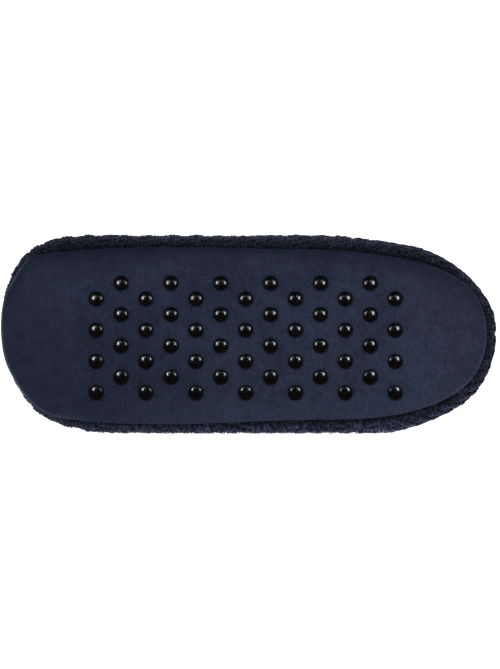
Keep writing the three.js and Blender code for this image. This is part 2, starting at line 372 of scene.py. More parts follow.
def cuff_start(turn):
    upright = COLLAR_HEIGHT - SEAM_LEVEL
    sloping = math.hypot(collar_oval(np.array(0.0))[0] + SOLE_LENGTH / 2, THROAT_HEIGHT - SEAM_LEVEL)
    return 1 - CUFF_HEIGHT / mix(upright, sloping, (1 - length_share(turn)) ** 2)


def to_world(points):
    """Sock frame, millimetres, to the frame's place, metres."""
    x, y, h = points[..., 0], points[..., 1], points[..., 2]
    return np.stack([x + SOLE_MIDDLE, h + CAD_BOX[0][1] * 1000, FLOOR_SIDE - y], -1) / 1000


def dot_places():
    """Where the frame has its grip dots, in the sock's frame, and their names."""
    names = sorted(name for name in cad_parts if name.startswith("grip_dot"))
    corners = [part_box(name) for name in names]
    x = np.array([(low.x + high.x) * 500 - SOLE_MIDDLE for low, high in corners])
    y = np.array([FLOOR_SIDE - (low.z + high.z) * 500 for low, high in corners])
    return x, y, names


def put_in_scene(name, data):
    made = bpy.data.objects.new(name, data)
    bpy.context.scene.collection.objects.link(made)
    return made


def add_piece(name, points, faces, material, uv=None):
    """A mesh object from sock-frame points that rides on the sock's one body."""
    mesh = bpy.data.meshes.new(name)
    sides = faces.shape[1]
    mesh.vertices.add(len(points))
    mesh.vertices.foreach_set("co", to_world(points).ravel())
    mesh.loops.add(faces.size)
    mesh.loops.foreach_set("vertex_index", faces.ravel())
    mesh.polygons.add(len(faces))
    mesh.polygons.foreach_set("loop_start", np.arange(0, faces.size, sides))
    mesh.polygons.foreach_set("loop_total", np.full(len(faces), sides))
    mesh.update(calc_edges=True)
    mesh.validate()
    mesh.polygons.foreach_set("use_smooth", np.ones(len(mesh.polygons), bool))
    if uv is not None:
        layer = mesh.uv_layers.new(name="UVMap")
        layer.data.foreach_set("uv", uv[faces.ravel()].ravel())
    mesh.materials.append(material)
    piece = put_in_scene(name, mesh)
    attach(piece, "root")
    return piece


def ring_faces(rings, count, closed):
    """Quads between each closed ring of points and the next."""
    band = np.arange(rings if closed else rings - 1)[:, None]
    step = np.arange(count)[None, :]
    near = band * count
    far = (band + 1) % rings * count
    after = (step + 1) % count
    return np.stack([near + step, far + step, far + after, near + after], -1).reshape(-1, 4)


# Materials


def srgb(red, green, blue):
    """Linear colour of an 8-bit sRGB one."""
    def linear(value):
        value /= 255
        return value / 12.92 if value <= 0.04045 else ((value + 0.055) / 1.055) ** 2.4
    return (linear(red), linear(green), linear(blue), 1.0)


class Shader:
    """A principled material with small helpers for its node tree."""

    def __init__(self, name, roughness, sheen=0.0, sheen_tint=None, sheen_roughness=0.5, specular=0.5):
        self.material = bpy.data.materials.new(name)
        self.material.use_nodes = True
        self.tree = self.material.node_tree
        self.surface = self.tree.nodes["Principled BSDF"]
        settings = {
            "Roughness": roughness, "Specular IOR Level": specular, "Sheen Weight": sheen,
            "Sheen Roughness": sheen_roughness, "Sheen Tint": sheen_tint,
        }
        for socket, value in settings.items():
            self.feed(self.surface.inputs[socket], value)
        self.place = self.tree.nodes.new("ShaderNodeTexCoord").outputs["Object"]
        self.layout = self.tree.nodes.new("ShaderNodeUVMap").outputs["UV"]

    def feed(self, socket, value):
        """Link another node's output to a socket, or set the socket to a plain value, if there is one."""
        if hasattr(value, "is_output"):
            self.tree.links.new(value, socket)
        elif value is not None:
            socket.default_value = value

    def node(self, kind, **inputs):
        made = self.tree.nodes.new(kind)
        for name, value in inputs.items():
            self.feed(made.inputs[name.replace("_", " ")], value)
        return made

    def math(self, kind, *values):
        made = self.tree.nodes.new("ShaderNodeMath")
        made.operation = kind
        for socket, value in zip(made.inputs, values):
            self.feed(socket, value)
        return made.outputs["Value"]

    def product(self, first, *others):
        for other in others:
            first = self.math("MULTIPLY", first, other)
        return first

    def axes(self, vector=None):
        """Coordinates one by one: the object's, in metres, or those given."""
        return self.node("ShaderNodeSeparateXYZ", Vector=vector or self.place).outputs[:]

    def span(self, value, start, end):
        """0 at start to 1 at end, smooth and held beyond."""
        made = self.node("ShaderNodeMapRange", Value=value, From_Min=start, From_Max=end)
        made.interpolation_type = "SMOOTHSTEP"
        return made.outputs["Result"]

    def dot_shadow_rings(self):
        """Mask of the painted shadow round the grip dots: 1 close round each dot and 0 away from it, on
        two staggered grids of dots.
        """
        dot_x, dot_y, _ = dot_places()
        centres = to_world(np.stack([dot_x, dot_y, np.zeros(len(dot_x))], -1))
        column_x = centres[:, 0].round(5)
        radius = DOT_DIAMETER / 2000
        x, _, z = self.axes()
        grid_axes = ((x, 0, 2 * DOT_COLUMN_PITCH / 1000), (z, 2, DOT_ROW_PITCH / 1000))
        rings = []
        for first in (0, 1):
            own = centres[np.isin(column_x, np.unique(column_x)[first::2])]
            squares, insides = [], []
            for axis, column, pitch in grid_axes:
                low, high = float(own[:, column].min()), float(own[:, column].max())
                away = self.math("WRAP", self.math("SUBTRACT", axis, low), pitch / 2, -pitch / 2)
                squares.append(self.product(away, away))
                middle, reach = (low + high) / 2, (high - low) / 2 + 2 * radius
                insides.append(self.math("COMPARE", axis, middle, reach))
            apart = self.math("SQRT", self.math("ADD", *squares))
            near = self.span(apart, DOT_SHADOW_REACH * radius, radius)
            rings.append(self.product(near, *insides))
        return self.math("MAXIMUM", *rings)

    def above_seam(self):
        """How far a place is above the seam between knit and sole, in metres."""
        x, level, _ = self.axes()
        toe = self.node(
            "ShaderNodeMapRange", Value=x, From_Min=TOE_X + TOE_SPRING_RUN / 1000, From_Max=TOE_X,
        ).outputs["Result"]
        spring = self.product(toe, toe, TOE_SPRING / 1000)
        seam = CAD_BOX[0][1] + SEAM_LEVEL / 1000
        return self.math("SUBTRACT", self.math("SUBTRACT", level, seam), spring)

    def stretched(self, scale):
        return self.node("ShaderNodeMapping", Vector=self.place, Scale=scale).outputs["Vector"]

    def noise(self, size_mm, detail=3.0, roughness=0.55, vector=None):
        made = self.node(
            "ShaderNodeTexNoise", Vector=vector or self.place, Scale=1000 / size_mm,
            Detail=detail, Roughness=roughness,
        )
        return made.outputs["Fac"]

    def ramp(self, fac, stops):
        made = self.node("ShaderNodeValToRGB", Fac=fac)
        elements = made.color_ramp.elements
        while len(elements) < len(stops):
            elements.new(0.5)
        for element, (position, colour) in zip(elements, stops):
            element.position = position
            element.color = colour
        return made.outputs["Color"]

    def mix_colour(self, fac, a, b, blend="MIX"):
        made = self.tree.nodes.new("ShaderNodeMix")
        made.data_type = "RGBA"
        made.blend_type = blend
        colours = [socket for socket in made.inputs if socket.type == "RGBA"]
        for socket, value in zip((made.inputs["Factor"], *colours), (fac, a, b)):
            self.feed(socket, value)
        return [socket for socket in made.outputs if socket.type == "RGBA"][0]

    def tinted(self, colour, tint, share=1.0):
        """A colour times a tint, where share is 1."""
        return self.mix_colour(share, colour, tint, "MULTIPLY")

    def bump(self, height, distance_mm, strength=1.0, normal=None):
        made = self.node("ShaderNodeBump", Height=height, Distance=distance_mm / 1000, Strength=strength)
        self.feed(made.inputs["Normal"], normal)
        return made.outputs["Normal"]

    def finish(self, colour, normal=None):
        self.feed(self.surface.inputs["Base Color"], colour)
        self.feed(self.surface.inputs["Normal"], normal)
        return self.material


def suede_material():
    """Brushed navy microsuede: clouded, paler to the heel and the outer side, with painted shade round
    the dots and along its top edge, and a painted highlight along its rim.
    """
    shader = Shader(
        "suede", 0.92, sheen=0.4, sheen_tint=srgb(120, 132, 165), sheen_roughness=0.3, specular=0.1,
    )
    mottle = shader.noise(7, detail=4, roughness=0.6)
    cloud = shader.noise(42, detail=3)
    nap = shader.noise(0.9, detail=3, roughness=0.7, vector=shader.stretched((1, 1, 0.75)))
    wave = shader.noise(3.2, detail=2, vector=shader.stretched((0.6, 1, 1.3)))
    x, _, z = shader.axes()
    to_heel = shader.span(x, -0.13, 0.07)
    to_outer = shader.span(z, 0.1, 0.012)
    dark_end = shader.mix_colour(to_outer, srgb(*SUEDE_TOE_INNER), srgb(*SUEDE_TOE_OUTER))
    pale_end = shader.mix_colour(to_outer, srgb(*SUEDE_HEEL_INNER), srgb(*SUEDE_HEEL_OUTER))
    base = shader.mix_colour(to_heel, dark_end, pale_end)
    clouded = shader.tinted(base, SUEDE_CLOUD, shader.span(cloud, 0.35, 0.7))
    mottled = shader.tinted(clouded, SUEDE_MOTTLE, shader.span(mottle, 0.35, 0.68))
    nap_and_floor_light = shader.tinted(mottled, SUEDE_NAP, shader.span(nap, 0.38, 0.66))
    shaded = shader.tinted(nap_and_floor_light, SUEDE_HEEL_END, shader.span(x, 0.09, 0.135))
    from_edge, _, _ = shader.axes(shader.layout)
    # Painted shade along the suede's top edge, where it rolls away.
    painted_edge_shade = shader.product(shader.span(from_edge, 0.2, 0.0), shader.span(z, 0.06, 0.095))
    with_top_edge_shade = shader.tinted(shaded, SUEDE_TOP_EDGE_SHADE, painted_edge_shade)
    # A painted highlight along the rim, where it catches grazing light: brightest at the toe's tip, then
    # along the toe's outer side, and faint round the heel.
    tip = shader.product(shader.span(x, -0.12, -0.13), 0.8)
    toe_side = shader.product(shader.span(x, -0.08, -0.12), shader.span(z, 0.07, 0.03), 0.35)
    heel = shader.product(shader.span(x, 0.09, 0.125), 0.15)
    rim_highlight_strength = shader.math("ADD", heel, shader.math("ADD", toe_side, tip))
    rim = shader.product(shader.span(from_edge, 0.045, -0.01), rim_highlight_strength)
    with_rim_highlight = shader.tinted(with_top_edge_shade, SUEDE_RIM_HIGHLIGHT, rim)
    # Painted shadow round each grip dot, where it meets the suede.
    with_dot_shadows = shader.tinted(with_rim_highlight, SUEDE_DOT_SHADOW, shader.dot_shadow_rings())
    normal = shader.bump(nap, 0.2, 0.7)
    normal = shader.bump(wave, 0.25, 0.4, normal)
    return shader.finish(with_dot_shadows, shader.bump(cloud, 1.2, 0.35, normal))


def yarn_colour(shader, twist, fibre):
    """Dark and pale flecks, warmer in places, with a bloom on the crests, painted shade between the plies
    and painted shade off the crests.
    """
    fleck = shader.noise(1.7, detail=2, roughness=0.6)
    warm = shader.noise(9, detail=3, roughness=0.6)
    base = shader.ramp(fleck, [(0.4, srgb(*YARN_DARK)), (0.62, srgb(*YARN_PALE))])
    warmed = shader.tinted(base, YARN_WARM, shader.span(warm, 0.5, 0.72))
    bloomed = shader.tinted(warmed, YARN_BLOOM, shader.span(fibre, 0.42, 0.7))
    # Painted shade in the grooves between the plies.
    plied = shader.tinted(bloomed, YARN_PLY_GROOVE_SHADE, twist)
    # The layout runs along the yarn, with a stitch's middle at 1, and round it, with its crest at 0.125.
    # Off the crest and towards a stitch's ends the yarn is darkened: painted shade where it turns under
    # its neighbours.
    along, around, _ = shader.axes(shader.layout)
    off_crest = shader.math("ABSOLUTE", shader.math("SUBTRACT", around, 0.125))
    off_middle = shader.math("ABSOLUTE", shader.math("SUBTRACT", along, 1.0))
    crest = shader.product(shader.span(off_crest, 0.3, 0.08), shader.span(off_middle, 1.0, 0.4))
    return shader.mix_colour(crest, shader.tinted(plied, YARN_OFF_CREST_SHADE), plied)


def yarn_painted_shade_and_light(shader, colour):
    """Painted shade by the seam and at the toe and heel, where the knit turns in, and painted light from
    the white floor on the yarn low by it.
    """
    x, _, height = shader.axes()
    above = shader.above_seam()
    # Painted shade by the seam, less on the floor side.
    painted_edge_shade = shader.product(shader.span(above, 0.006, 0.001), shader.span(height, -0.02, 0.04))
    # Painted shade at the toe and heel close to the seam, and more along the heel's seam.
    toe, heel = shader.span(x, -0.055, -0.095), shader.span(x, 0.122, 0.137)
    toe_and_heel = shader.math("MULTIPLY_ADD", toe, 0.8, heel)
    toe_and_heel = shader.product(toe_and_heel, shader.span(above, 0.035, 0.012))
    heel_seam = shader.product(painted_edge_shade, 0.4, shader.span(x, 0.085, 0.125))
    # Painted light from the white floor, on the yarn that lies by it.
    nap_and_floor_light = shader.product(shader.span(height, 0.008, 0.0), shader.span(above, 0.0, 0.004))
    marks = (
        (YARN_SEAM_SHADE, painted_edge_shade),
        (YARN_END_SHADE, shader.math("MAXIMUM", heel_seam, toe_and_heel)),
        # Painted shadow: a thin dark line right along the seam.
        (YARN_SEAM_SHADOW, shader.span(above, 0.0014, 0.0)),
        (YARN_FLOOR_LIGHT, shader.product(nap_and_floor_light, shader.span(x, -0.1, -0.06))),
    )
    for tint, share in marks:
        colour = shader.tinted(colour, tint, share)
    return colour


def yarn_material():
    """Soft plied yarn with a pale bloom, flecked, with painted shade by the seam and at its ends, and
    painted light from the floor low down.
    """
    shader = Shader(
        "knit_yarn", 0.9, sheen=0.4, sheen_tint=srgb(180, 192, 225), sheen_roughness=0.3, specular=0.1,
    )
    wave = shader.node("ShaderNodeTexWave", Vector=shader.layout, Scale=2.2, Distortion=0.6)
    wave.wave_type = "BANDS"
    wave.bands_direction = "DIAGONAL"
    twist = wave.outputs["Fac"]
    fibre = shader.noise(0.6, detail=3, roughness=0.75)
    colour = yarn_painted_shade_and_light(shader, yarn_colour(shader, twist, fibre))
    normal = shader.bump(twist, 0.2, 0.8)
    return shader.finish(colour, shader.bump(fibre, 0.16, 0.8, normal))


def ground_material():
    """The knit's own ground behind its stitches, deep in shade."""
    shader = Shader("knit_ground", 0.95, sheen=0.15, sheen_tint=srgb(120, 130, 165), specular=0.1)
    fibre = shader.noise(0.9, detail=3, roughness=0.7)
    base = shader.ramp(fibre, [(0.3, srgb(9, 11, 19)), (0.75, srgb(22, 25, 38))])
    return shader.finish(base, shader.bump(fibre, 0.3, 0.7))


def lining_material():
    shader = Shader("brushed_lining", 0.95, sheen=0.6, sheen_tint=srgb(160, 170, 200), specular=0.1)
    pile = shader.noise(2.6, detail=4, roughness=0.65)
    fibre = shader.noise(0.6, detail=2)
    base = shader.ramp(pile, [(0.3, srgb(27, 31, 46)), (0.7, srgb(48, 53, 72))])
    tips = shader.ramp(fibre, [(0.3, srgb(24, 27, 40)), (0.7, srgb(66, 72, 94))])
    normal = shader.bump(pile, 1.1, 0.7)
    return shader.finish(shader.mix_colour(0.3, base, tips), shader.bump(fibre, 0.2, 0.5, normal))


def rubber_material():
    shader = Shader("glossy_rubber", 0.2, specular=0.5)
    shader.surface.inputs["Coat Weight"].default_value = 0.3
    shader.surface.inputs["Coat Roughness"].default_value = 0.08
    smear = shader.noise(3, detail=2)
    return shader.finish(
        shader.ramp(smear, [(0.3, srgb(4, 4, 5)), (0.7, srgb(9, 9, 9))]),
        shader.bump(smear, 0.02, 0.4),
    )


# Pads


def pad_points(edge, thickness, inset_by, clear, level, turns, edge_steps, inner_rings):
    """Rings of a pad from the middle of its underside, round its edge, to the middle of its top."""
    turn = np.arange(turns) * 2 * math.pi / turns
    steps = np.linspace(0, len(edge["at"]) - 1, edge_steps)
    insets = clear + np.maximum(column_at(edge, "inset", steps), 0) * inset_by
    heights = column_at(edge, "height", steps) * thickness
    rings = []

    def ring(inset, height, scale):
        plan = outline(turn, -inset) * scale
        h = level + height + lift_at(plan[:, 0])
        rings.append(np.concatenate([plan, h[:, None]], -1))

    scales = np.linspace(0.02, 1, inner_rings, endpoint=False)
    for scale in scales:
        ring(insets[0], heights[0], scale)
    for inset, height in zip(insets, heights):
        ring(inset, height, 1)
    for scale in scales[::-1]:
        ring(insets[-1], heights[-1], scale)
    return np.array(rings)


def closed_pad(name, rings, material):
    """A closed pad from its rings. Its layout holds how far each point is in from its outline."""
    count = rings.shape[1]
    faces = ring_faces(len(rings), count, False)
    points = rings.reshape(-1, 3)
    from_middle = np.linalg.norm(rings[..., :2], axis=-1)
    from_edge = (from_middle.max(0) - from_middle).ravel() / LAYOUT_REACH
    layout = np.stack([from_edge, np.zeros(len(points))], -1)
    caps = []
    for first, flip in ((0, False), ((len(rings) - 1) * count, True)):
        step = np.arange(1, count // 2 - 1)
        left, right = first + step, first + count - step
        quads = np.stack([left, left + 1, right - 1, right], -1)
        caps.append(quads[:, ::-1] if flip else quads)
    return add_piece(name, points, np.concatenate([faces, *caps]), material, layout)


def suede_sole(material):
    rings = pad_points(
        SOLE_EDGE, SOLE_THICKNESS, EDGE_ROLL, 0, SUEDE_LEVEL, turns=360, edge_steps=30, inner_rings=26,
    )
    flat = rings.reshape(-1, 3)
    x, y, h = flat[:, 0], flat[:, 1], flat[:, 2]
    # The pad is a little uneven under its suede, by less than the gap to the dots' seats.
    wave = np.sin(x / 17 + 0.6) * np.cos(y / 13 - 0.4) + 0.5 * np.sin(x / 7.3 + y / 9.1)
    under = np.clip((SUEDE_LEVEL + lift_at(x) + 3 - h) / 3, 0, 1)
    flat[:, 2] -= SOLE_WAVE * wave * under
    # At the toe it is fuller on the inner side and drawn in on the outer one.
    by_corner = np.exp(-(((x - TOE_CORNER) / TOE_CORNER_REACH) ** 2))
    flat[:, 1] *= 1 + np.where(y > 0, -TOE_TUCK, TOE_FULLNESS) * by_corner
    piece = closed_pad("sole_suede", rings, material)
    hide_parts("outsole")


def footbed(material):
    clear = SEAM_INSET + WALL + INSOLE_CLEARANCE
    rings = pad_points(
        INSOLE_EDGE, INSOLE_THICKNESS, INSOLE_THICKNESS, clear, SEAM_LEVEL,
        turns=240, edge_steps=14, inner_rings=22,
    )
    flat = rings.reshape(-1, 3)
    top = np.clip((flat[:, 2] - SEAM_LEVEL - lift_at(flat[:, 0]) - 2) / 2, 0, 1)
    for hollow in FOOTBED_HOLLOWS:
        away = (flat[:, :2] - hollow["at"]) / hollow["reach"]
        flat[:, 2] -= top * hollow["depth"] * np.exp(-(away**2).sum(-1))
    piece = closed_pad("footbed", rings, material)
    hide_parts("insole")


def dot_profile():
    """Radius and height of a grip dot from its foot in the suede to its crown: a side, then a cap."""
    half = DOT_DIAMETER / 2
    out = np.array([1, 0.995, 0.985, 0.965, 0.935, 0.9, 0.82, 0.7, 0.55, 0.4, 0.25, 0.12, 0.012]) * half
    cap = DOT_HEIGHT - DOT_CROWN_RADIUS + np.sqrt(DOT_CROWN_RADIUS**2 - out**2)
    rounding = np.clip((out / half - 0.9) / 0.1, 0, 1)
    cap -= DOT_RIM_DROP * rounding**2.2
    radius = np.concatenate([[half, half], out])
    height = np.concatenate([[-1.0, 0.3], cap])
    return radius, height


def grip_dots(material):
    """A moulded dome on the suede for each grip dot of the frame, leaning with the pad's gentle crown."""
    sides = 32
    angle = np.arange(sides) * 2 * math.pi / sides
    radius, height = dot_profile()
    x, y, names = dot_places()
    rings = np.stack([
        radius[:, None] * np.cos(angle),
        radius[:, None] * np.sin(angle),
        np.repeat(-height[:, None], sides, 1),
    ], -1).reshape(-1, 3)
    lean = (y - y.mean())[:, None] / PAD_CROWN
    points = np.stack([
        x[:, None] + rings[:, 0],
        y[:, None] + rings[:, 1] * np.cos(lean) - rings[:, 2] * np.sin(lean),
        DOT_HEIGHT + rings[:, 2] * np.cos(lean) + rings[:, 1] * np.sin(lean),
    ], -1)
    base = ring_faces(len(radius), sides, False)
    faces = base + (np.arange(len(x)) * len(rings))[:, None, None]
    piece = add_piece("grip_dots", points.reshape(-1, 3), faces.reshape(-1, 4), material)
    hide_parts(*names)


# The knit


def surface_grid(turns, rises, depth, cuffs=True):
    """Rings over the outer face: rises run from the seam (0) to the cuff (1) and on to the collar (2)."""
    turn, rise = np.meshgrid(turns, rises)
    start = cuff_start(turn)
    real = np.where(rise < 1, rise * start, mix(start, 1, rise - 1))
    stepped = np.where(rise > 1, depth - CUFF_STEP, depth) if cuffs else depth
    return upper_point(turn, real, stepped)


def knit_shell(ground, lining):
    """The knit's ground and its brushed lining: one wall, open underneath and at the collar."""
    count = 240
    turns = np.arange(count) * 2 * math.pi / count
    low = np.concatenate([np.linspace(0, 0.2, 12), np.linspace(0.2, 1, 40)[1:]])
    high = np.concatenate([[1.03], np.linspace(1.08, 2, 14)])
    outside = surface_grid(turns, np.concatenate([low, high]), SHELL_DEPTH)
    rises = np.concatenate([np.linspace(0, 1, 44), np.linspace(1, 2, 14)[1:]])
    inside = surface_grid(turns, rises, WALL, cuffs=False)
    rim = outline(turns, -SEAM_INSET - WALL)
    inside[0] = np.concatenate([rim, (SEAM_LEVEL + lift_at(rim[:, 0]))[:, None]], -1)
    for ring in (outside[0], inside[0]):
        ring[:, 2] -= 0.9 * SEAT_GAP
    lip = (outside[-1] + inside[-1]) / 2
    lip[:, 2] += LIP_ROUND
    rings = np.concatenate([outside, lip[None], inside[::-1]])
    faces = ring_faces(len(rings), count, True)
    piece = add_piece("knit_shell", rings.reshape(-1, 3), faces, ground)
    piece.data.materials.append(lining)
    lining_from = (len(outside) + 1) * count
    slots = np.where(np.arange(len(faces)) >= lining_from, 1, 0)
    piece.data.polygons.foreach_set("material_index", slots)
    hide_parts("upper")


def section_coordinate(point):
    """How far along the sock and round its ankle a point lies, and its place from the ankle's centre."""
    x = point[..., 0] - (collar_oval(np.array(0.0))[0] - ANKLE_IN)
    h = THROAT_HEIGHT + ANKLE_ABOVE - point[..., 2]
    return np.where(x < 0, x, np.arctan2(x, h) * ANKLE_RADIUS), x, h


def crossings(field, level, arrays):
    """Points where a field on a grid crosses a level, on its edges both ways."""
    found = []
    for axis in (0, 1):
        here = field[:-1] if axis == 0 else field[:, :-1]
        there = field[1:] if axis == 0 else field[:, 1:]
        hit = (here <= level) != (there <= level)
        share = ((level - here[hit]) / (there[hit] - here[hit]))[:, None]
        first = arrays[:-1] if axis == 0 else arrays[:, :-1]
        second = arrays[1:] if axis == 0 else arrays[:, 1:]
        found.append(mix(first[hit], second[hit], share))
    return np.concatenate(found)


def wale_lines(side):
    """Lines an even distance apart from the top of the foot down to the seam, along the sock."""
    turns = np.linspace(0, math.pi, 181) * side
    rises = np.linspace(0, 1, 91)
    turn, rise = np.meshgrid(turns, rises)
    real = rise * cuff_start(turn)
    point = free_face(turn, real)
    point[..., 1] = np.minimum(point[..., 1], FLOOR_SIDE)
    field, _, _ = section_coordinate(point)
    edge_run = run_along(point[-1])
    arrays = np.concatenate([point, np.abs(turn)[..., None], real[..., None], rise[..., None]], -1)
    # Sections across the sock, closest at the toe, where the lines bend most. Each point of a line is
    # x, y, h, turn and rise.
    low, high = field.min(), field.max()
    levels = np.concatenate([
        low + np.linspace(0.05, 3, 14),
        np.arange(low + 3.5, low + 20, 0.7),
        np.arange(low + 20, high, 2.2),
    ])
    wales = int(LONGEST_ARC / WALE)
    lines = np.full((len(levels), wales, 5), np.nan)
    for index, level in enumerate(levels):
        arc = crossings(field, level, arrays)
        if len(arc) < 6:
            continue
        _, x, h = section_coordinate(arc)
        down = np.where(x < 0, h, np.hypot(x, h))
        middle = (down.min() + down.max()) / 2
        angle = np.arctan2(arc[:, 1] * side, middle - down)
        order = np.argsort(np.where(angle < -math.pi / 2, angle + 2 * math.pi, angle))
        arc = arc[order]
        run = run_along(arc[:, :3])
        first_turn, first_rise = arc[0, 3], arc[0, 5]
        begin = 0.0
        if first_rise > 0.999 and first_turn > 0.02:
            begin = np.interp(first_turn, np.abs(turns), edge_run)
        wanted = (np.arange(wales) + 0.5) * WALE
        inside = (wanted >= begin) & (wanted <= begin + run[-1] - 0.3)
        for column in range(5):
            lines[index, inside, column] = np.interp(wanted[inside] - begin, run, arc[:, column])
    return lines


def stitch_places(side):
    """Turn, rise, run along its wale and wale number of each stitch on one side."""
    places = []
    lines = wale_lines(side)
    reference = np.nanargmin(np.abs(lines[:, 3, 0] - ALIGNED_AT))
    for wale in range(lines.shape[1]):
        good = np.where(~np.isnan(lines[:, wale, 0]))[0]
        if len(good) < 3:
            continue
        line = lines[good, wale]
        run = run_along(line[:, :3])
        origin = np.interp(reference, good, run)
        first = math.ceil((run[0] - origin) / COURSE + 0.2)
        last = math.floor((run[-1] - origin) / COURSE - 0.1)
        wanted = origin + np.arange(first, last + 1) * COURSE
        turn = np.interp(wanted, run, line[:, 3])
        rise = np.interp(wanted, run, line[:, 4])
        places.append(np.stack([turn * side, rise, wanted - origin, np.full(len(wanted), wale)], -1))
    return np.concatenate(places)


def stitch_frames(turn, rise, depth, upward):
    """Place, across, along and outward directions of stitches. Upward ones climb towards the collar."""
    centre = upper_point(turn, rise, depth)
    if upward:
        step = 0.002
        high = np.minimum(rise + step, 1)
        along = upper_point(turn, high, depth) - upper_point(turn, high - 2 * step, depth)
    else:
        _, x, h = section_coordinate(centre)
        flow_x = np.where(x < 0, 1.0, h / np.hypot(x, h))
        flow_h = np.where(x < 0, 0.0, x / np.hypot(x, h))
        along = np.stack([flow_x, np.zeros(len(turn)), flow_h], -1)
    outward = face_normal(turn, rise)
    pressed = free_face(turn, rise)[:, 1] > FLOOR_SIDE
    outward[pressed] = (0, 1, 0)
    along = unit(square_to(outward, along))
    return centre, np.cross(outward, along), along, outward


def stitch_mesh(name, frames, width, length, material, form=PLAIN_STITCH, thickness=1.0):
    """Both legs or loops of each stitch, as one mesh."""
    centre, across, along, outward = frames
    count, steps, sides = len(centre), len(form["out"]), 4
    width, length = np.full(count, width), np.full(count, length)
    jitter = random.normal(0, 1, (count, 4))
    size = YARN_RADIUS * thickness * (1 + STITCH_JITTER["size"] * jitter[:, 0])
    middle = centre + across * (STITCH_JITTER["across"] * width * jitter[:, 1])[:, None]
    middle = middle + along * (STITCH_JITTER["along"] * length * jitter[:, 2])[:, None]
    middle = middle + outward * (STITCH_JITTER["out"] * jitter[:, 3:4])
    spread = size[:, None, None] * np.array(form["radius"])[:, None]
    angle = (np.arange(sides) + 0.5) * 2 * math.pi / sides
    rows = []
    for hand in (-1, 1):
        path_across = np.array(form["across"]) * (hand if form["mirror"] == "across" else 1)
        path_along = np.array(form["along"]) * (hand if form["mirror"] == "along" else 1)
        leg_across = (path_across[-1] - path_across[0]) * width
        leg_along = (path_along[-1] - path_along[0]) * length
        lean = np.arctan2(leg_across, leg_along)[:, None]
        leg_side = across * np.cos(lean) - along * np.sin(lean)
        ring = (
            middle[:, None]
            + across[:, None] * (width[:, None] * path_across)[..., None]
            + along[:, None] * (length[:, None] * path_along)[..., None]
            + outward[:, None] * (size[:, None] * np.array(form["out"]))[..., None]
        )
        points = (
            ring[:, :, None]
            + leg_side[:, None, None] * (spread * np.cos(angle))[..., None]
            + outward[:, None, None] * (spread * np.sin(angle))[..., None]
        )
        rows.append(points.reshape(-1, 3))
    points = np.concatenate(rows)
    points[:, 1] = np.minimum(points[:, 1], FLOOR_SIDE)
    u = np.repeat(np.arange(steps) * 0.5, sides)
    v = np.tile(np.arange(sides) / sides, steps)
    uv = np.tile(np.stack([u, v], -1), (2 * count, 1))
    base = ring_faces(steps, sides, False)[:, ::-1]
    faces = (base + (np.arange(2 * count) * steps * sides)[:, None, None]).reshape(-1, 4)
    add_piece(name, points, faces, material, uv)


def knit_relief(run, wale, x):
    """Height of the braids, which swell and sink along the sock, and of the ribs behind the heel."""
    rope = np.floor(wale / BRAID_WALES)
    phase = 2 * math.pi * run / BRAID_PITCH + math.pi * rope
    across = (wale % BRAID_WALES + 0.5) / BRAID_WALES
    braids = BRAID_RELIEF * (0.5 + 0.5 * np.cos(phase)) * np.sin(math.pi * across) ** 0.5
    ribs = 1.2 * BRAID_RELIEF * (wale % 2)
    at_heel = np.clip((x - HEEL_RIBS_FROM) / HEEL_RIBS_RUN, 0, 1)
    return mix(braids, ribs, at_heel) - 0.35 * BRAID_RELIEF


def knit_side(name, side, material):
    """One side of the knit: plain braids above, and purl stitches in a band along the sole."""
    turn, rise, run, wale = stitch_places(side).T
    place = free_face(turn, rise)
    relief = knit_relief(run, wale, place[:, 0])
    pressed = np.clip(place[:, 1] - FLOOR_SIDE + 1, 0, 1)
    # Low at the toe's tip the knit sinks in behind the sole, out of sight.
    behind_toe = np.exp(-((length_share(turn) / 0.02) ** 2) - (rise / 0.2) ** 2)
    depth = mix(YARN_RADIUS + 0.25, 1.4 * YARN_RADIUS + 0.65 * BRAID_RELIEF, pressed)
    depth += TOE_SINK * behind_toe - relief
    purl = rise < PURL_RISE * (1 + 0.06 * np.sin(run / 9))
    for part, chosen, form in (("braids", ~purl, PLAIN_STITCH), ("purl", purl, PURL_STITCH)):
        frames = stitch_frames(turn[chosen], rise[chosen], depth[chosen], False)
        stitch_mesh(name + "_" + part, frames, WALE, COURSE, material, form)


def knit_cuff(material):
    """Ribs that climb to the collar."""
    around = np.linspace(0, 2 * math.pi, 721)
    run = run_along(free_face(around, 0.93))
    wales = round(run[-1] / WALE / (2 * RIB_WALES)) * 2 * RIB_WALES
    wanted = (np.arange(wales) + 0.5) * run[-1] / wales
    rows = []
    for wale, turn in enumerate(np.interp(wanted, run, around)):
        start = cuff_start(turn)
        ends = upper_point(turn, np.array([start, 1.0]), 0.0)
        height = np.linalg.norm(ends[1] - ends[0])
        courses = max(int(round(height / COURSE)), 2)
        rise = mix(start, 1.0, (np.arange(courses + 1) - 0.4) / courses)
        raised = (wale // RIB_WALES) % 2 == 0
        depth = YARN_RADIUS - CUFF_STEP + (0.1 if raised else RIB_RELIEF + 0.1)
        rows.append(np.stack(np.broadcast_arrays(turn, rise, depth, height / courses)))
    turn, rise, depth, length = np.concatenate(rows, axis=1)
    frames = stitch_frames(turn, rise, depth, True)
    stitch_mesh("knit_cuff", frames, run[-1] / wales, length, material)


